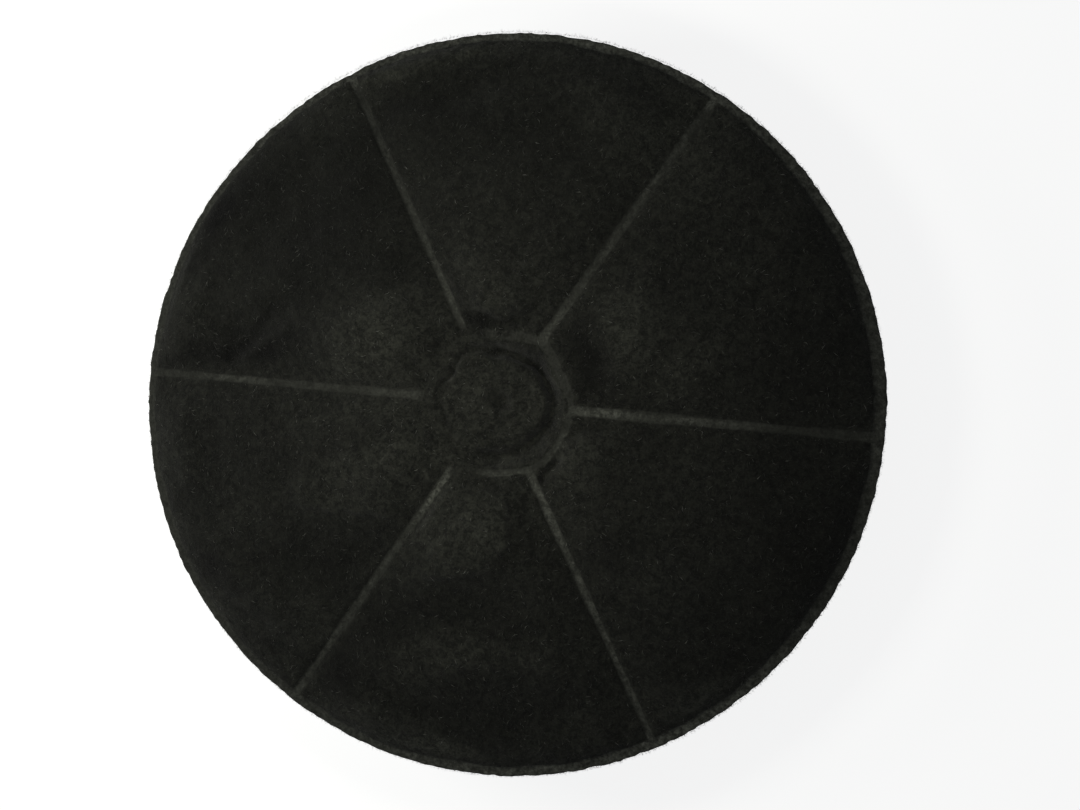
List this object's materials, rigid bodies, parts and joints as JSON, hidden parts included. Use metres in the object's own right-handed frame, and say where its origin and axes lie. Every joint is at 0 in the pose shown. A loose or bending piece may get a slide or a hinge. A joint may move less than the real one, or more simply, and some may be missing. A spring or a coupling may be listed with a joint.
{
  "type": "cooker hood carbon filter",
  "caption": "Round cooker hood filter: a black grille tray with a bayonet hub, filled with carbon granules under a felt cover that is welded to its rim, ribs and hub ring.",
  "frame": {"origin": "middle of the underside, at the level of the grille's lower face", "axes": "+Z points out of the felt cover, along the filter's axis; +Y is the top of the picture and +X its right"},
  "size_m": [0.21, 0.2098, 0.0294],
  "materials": {
    "plastic": "moulded black polypropylene, fine satin grain",
    "cover_felt": "black needle felt, pressed smooth along the welds",
    "liner_felt": "thin black needle felt",
    "carbon": "dull granules of activated carbon"
  },
  "bodies": {
    "root": {"housing": "plastic", "felt_cover": "cover_felt", "liner_felt_1": "liner_felt", "liner_felt_2": "liner_felt", "liner_felt_3": "liner_felt", "liner_felt_4": "liner_felt", "liner_felt_5": "liner_felt", "liner_felt_6": "liner_felt", "carbon_bed_1": "carbon", "carbon_bed_2": "carbon", "carbon_bed_3": "carbon", "carbon_bed_4": "carbon", "carbon_bed_5": "carbon", "carbon_bed_6": "carbon"}
  },
  "joints": []
}
